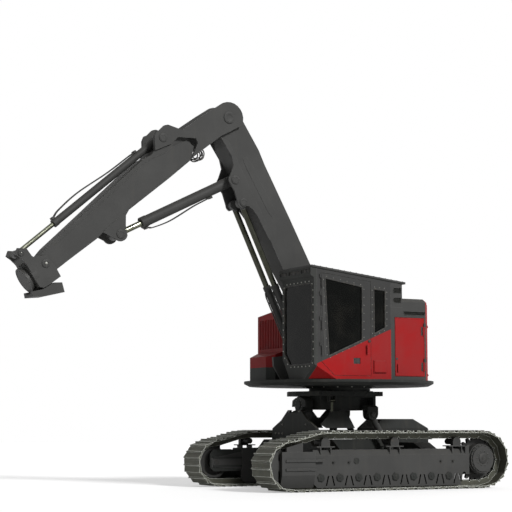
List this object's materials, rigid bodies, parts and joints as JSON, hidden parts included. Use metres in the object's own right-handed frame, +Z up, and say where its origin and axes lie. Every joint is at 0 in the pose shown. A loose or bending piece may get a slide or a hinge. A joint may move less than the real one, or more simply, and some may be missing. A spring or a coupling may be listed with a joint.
{
  "type": "tracked forestry harvester",
  "caption": "Tracked, self-levelling forestry harvester with a guarded cab, folding boom and stick, and a turning flange where a harvesting head bolts on.",
  "frame": {"origin": "on the ground, under the axis that the upper body swings about", "axes": "+X forward, the way the boom reaches; +Y to the machine's left, the cab's side; +Z up"},
  "size_m": [8.2408, 3.2198, 6.3475],
  "materials": {
    "grey_paint": "semi-gloss dark grey enamel",
    "dark_paint": "dusty near-black enamel",
    "red_paint": "semi-gloss red enamel",
    "track_steel": "worn, dusty steel with bright edges",
    "wheel_steel": "dark cast steel",
    "rod_chrome": "polished hard chrome with ground ends",
    "glass": "dark tinted safety pane",
    "seat_fabric": "black woven upholstery",
    "console_plastic": "textured black plastic",
    "flange_steel": "machined steel"
  },
  "bodies": {
    "undercarriage": {"track_left": "track_steel", "track_right": "track_steel", "side_frames": "grey_paint", "front_idlers": "wheel_steel", "track_rollers": "wheel_steel", "final_drives": "grey_paint", "carbody": "dark_paint"},
    "tilt_frame": {"tilt_frame": "dark_paint"},
    "turntable": {"turntable": "dark_paint"},
    "pitch_cylinder_barrel": {"pitch_cylinder_barrel": "grey_paint"},
    "pitch_cylinder_rod": {"pitch_cylinder_rod": "rod_chrome"},
    "roll_cylinder_barrel_left": {"roll_cylinder_barrel_left": "grey_paint"},
    "roll_cylinder_rod_left": {"roll_cylinder_rod_left": "rod_chrome"},
    "roll_cylinder_barrel_right": {"roll_cylinder_barrel_right": "grey_paint"},
    "roll_cylinder_rod_right": {"roll_cylinder_rod_right": "rod_chrome"},
    "upper": {"deck": "grey_paint", "boom_tower": "dark_paint", "cab_left_wall": "grey_paint", "cab_front": "grey_paint", "cab_right_wall": "grey_paint", "cab_rear_wall": "grey_paint", "cab_floor": "dark_paint", "cab_roof": "grey_paint", "cab_windows": "glass", "seat": "seat_fabric", "console": "console_plastic", "engine_housing": "grey_paint", "counterweight": "red_paint", "engine": "dark_paint", "right_hood": "red_paint", "right_front_box": "grey_paint"},
    "cab_door": {"cab_door": "grey_paint", "cab_door_glass": "glass"},
    "engine_door": {"engine_door": "red_paint"},
    "service_door": {"service_door": "red_paint"},
    "boom": {"boom": "grey_paint"},
    "boom_cylinder_barrel": {"boom_cylinder_barrel": "grey_paint"},
    "boom_cylinder_rod": {"boom_cylinder_rod": "rod_chrome"},
    "stick": {"stick": "grey_paint"},
    "stick_cylinder_barrel": {"stick_cylinder_barrel": "grey_paint"},
    "stick_cylinder_rod": {"stick_cylinder_rod": "rod_chrome"},
    "wrist": {"wrist": "grey_paint"},
    "tool_cylinder_barrel": {"tool_cylinder_barrel": "grey_paint"},
    "tool_cylinder_rod": {"tool_cylinder_rod": "rod_chrome"},
    "tool_flange": {"tool_flange": "flange_steel"}
  },
  "joints": [
    {"name": "level_pitch", "type": "hinge", "parent": "undercarriage", "child": "tilt_frame", "pos_m": [0.74, 0, 1.185], "axis": [0, 1, 0], "range_deg": [-9, 27]},
    {"name": "pitch_barrel_swing", "type": "hinge", "parent": "tilt_frame", "child": "pitch_cylinder_barrel", "pos_m": [-0.33, 0.455, 1.22], "axis": [0, -1, 0], "range_deg": [-11.64, 34.81]},
    {"name": "pitch_rod_slide", "type": "slide", "parent": "pitch_cylinder_barrel", "child": "pitch_cylinder_rod", "axis": [-0.5388, 0, -0.8424], "range_m": [-0.1537, 0.4606]},
    {"name": "level_roll", "type": "hinge", "parent": "tilt_frame", "child": "turntable", "pos_m": [0, 0, 1.38], "axis": [1, 0, 0], "range_deg": [-18, 18]},
    {"name": "roll_barrel_swing_left", "type": "hinge", "parent": "tilt_frame", "child": "roll_cylinder_barrel_left", "pos_m": [0.42, 0.45, 0.9], "axis": [1, 0, 0], "range_deg": [-2.35, 2.35]},
    {"name": "roll_rod_slide_left", "type": "slide", "parent": "roll_cylinder_barrel_left", "child": "roll_cylinder_rod_left", "axis": [0, 0, 1], "range_m": [-0.1418, 0.1418]},
    {"name": "roll_barrel_swing_right", "type": "hinge", "parent": "tilt_frame", "child": "roll_cylinder_barrel_right", "pos_m": [0.42, -0.45, 0.9], "axis": [1, 0, 0], "range_deg": [-2.35, 2.35]},
    {"name": "roll_rod_slide_right", "type": "slide", "parent": "roll_cylinder_barrel_right", "child": "roll_cylinder_rod_right", "axis": [0, 0, 1], "range_m": [-0.1418, 0.1418]},
    {"name": "swing", "type": "hinge", "parent": "turntable", "child": "upper", "pos_m": [0, 0, 1.66], "axis": [0, 0, 1], "continuous": true},
    {"name": "cab_door_hinge", "type": "hinge", "parent": "upper", "child": "cab_door", "pos_m": [1.134, 1.364, 2.7], "axis": [0, 0, -1], "range_deg": [0, 90]},
    {"name": "engine_door_hinge", "type": "hinge", "parent": "upper", "child": "engine_door", "pos_m": [-0.82, 1.368, 2.3], "axis": [0, 0, 1], "range_deg": [0, 100]},
    {"name": "service_door_hinge", "type": "hinge", "parent": "upper", "child": "service_door", "pos_m": [-0.82, -1.368, 2.3], "axis": [0, 0, -1], "range_deg": [0, 100]},
    {"name": "boom_lift", "type": "hinge", "parent": "upper", "child": "boom", "pos_m": [0.05, 0, 2.38], "axis": [0, -1, 0], "range_deg": [-45, 5]},
    {"name": "boom_barrel_swing", "type": "hinge", "parent": "upper", "child": "boom_cylinder_barrel", "pos_m": [0.72, 0, 2.05], "axis": [0, -1, 0], "range_deg": [-49.07, 5.5]},
    {"name": "boom_rod_slide", "type": "slide", "parent": "boom_cylinder_barrel", "child": "boom_cylinder_rod", "axis": [0.4254, 0, 0.905], "range_m": [-0.5444, 0.0607]},
    {"name": "stick_fold", "type": "hinge", "parent": "boom", "child": "stick", "pos_m": [2.256, 0, 6.087], "axis": [0, 1, 0], "range_deg": [-50, 18]},
    {"name": "stick_barrel_swing", "type": "hinge", "parent": "boom", "child": "stick_cylinder_barrel", "pos_m": [2.114, 0, 5.064], "axis": [0, -1, 0], "range_deg": [-18.23, 50.55]},
    {"name": "stick_rod_slide", "type": "slide", "parent": "stick_cylinder_barrel", "child": "stick_cylinder_rod", "axis": [0.8945, 0, -0.447], "range_m": [-0.2875, 0.7983]},
    {"name": "wrist_tilt", "type": "hinge", "parent": "stick", "child": "wrist", "pos_m": [5.387, 0, 3.519], "axis": [0, -1, 0], "range_deg": [-25, 70]},
    {"name": "tool_barrel_swing", "type": "hinge", "parent": "stick", "child": "tool_cylinder_barrel", "pos_m": [3.444, 0, 5.65], "axis": [0, -1, 0], "range_deg": [-0.51, 1.34]},
    {"name": "tool_rod_slide", "type": "slide", "parent": "tool_cylinder_barrel", "child": "tool_cylinder_rod", "axis": [0.7626, 0, -0.6469], "range_m": [-0.4554, 0.1628]},
    {"name": "tool_rotate", "type": "hinge", "parent": "wrist", "child": "tool_flange", "pos_m": [5.56, 0, 3.314], "axis": [0.829, 0, -0.5592], "range_deg": [-170, 170]}
  ],
  "couplings": [
    {"joint": "pitch_barrel_swing", "follows": "level_pitch", "ratio": 1.2874},
    {"joint": "pitch_rod_slide", "follows": "level_pitch", "m_per_rad": 0.9771},
    {"joint": "roll_barrel_swing_left", "follows": "level_roll", "ratio": 0.1276},
    {"joint": "roll_rod_slide_left", "follows": "level_roll", "m_per_rad": 0.4508},
    {"joint": "roll_barrel_swing_right", "follows": "level_roll", "ratio": 0.1276},
    {"joint": "roll_rod_slide_right", "follows": "level_roll", "m_per_rad": -0.4508},
    {"joint": "boom_barrel_swing", "follows": "boom_lift", "ratio": 1.0893},
    {"joint": "boom_rod_slide", "follows": "boom_lift", "m_per_rad": 0.6929},
    {"joint": "stick_barrel_swing", "follows": "stick_fold", "ratio": -1.0101},
    {"joint": "stick_rod_slide", "follows": "stick_fold", "m_per_rad": -0.9146},
    {"joint": "tool_barrel_swing", "follows": "wrist_tilt", "ratio": 0.0184},
    {"joint": "tool_rod_slide", "follows": "wrist_tilt", "m_per_rad": -0.3726}
  ]
}
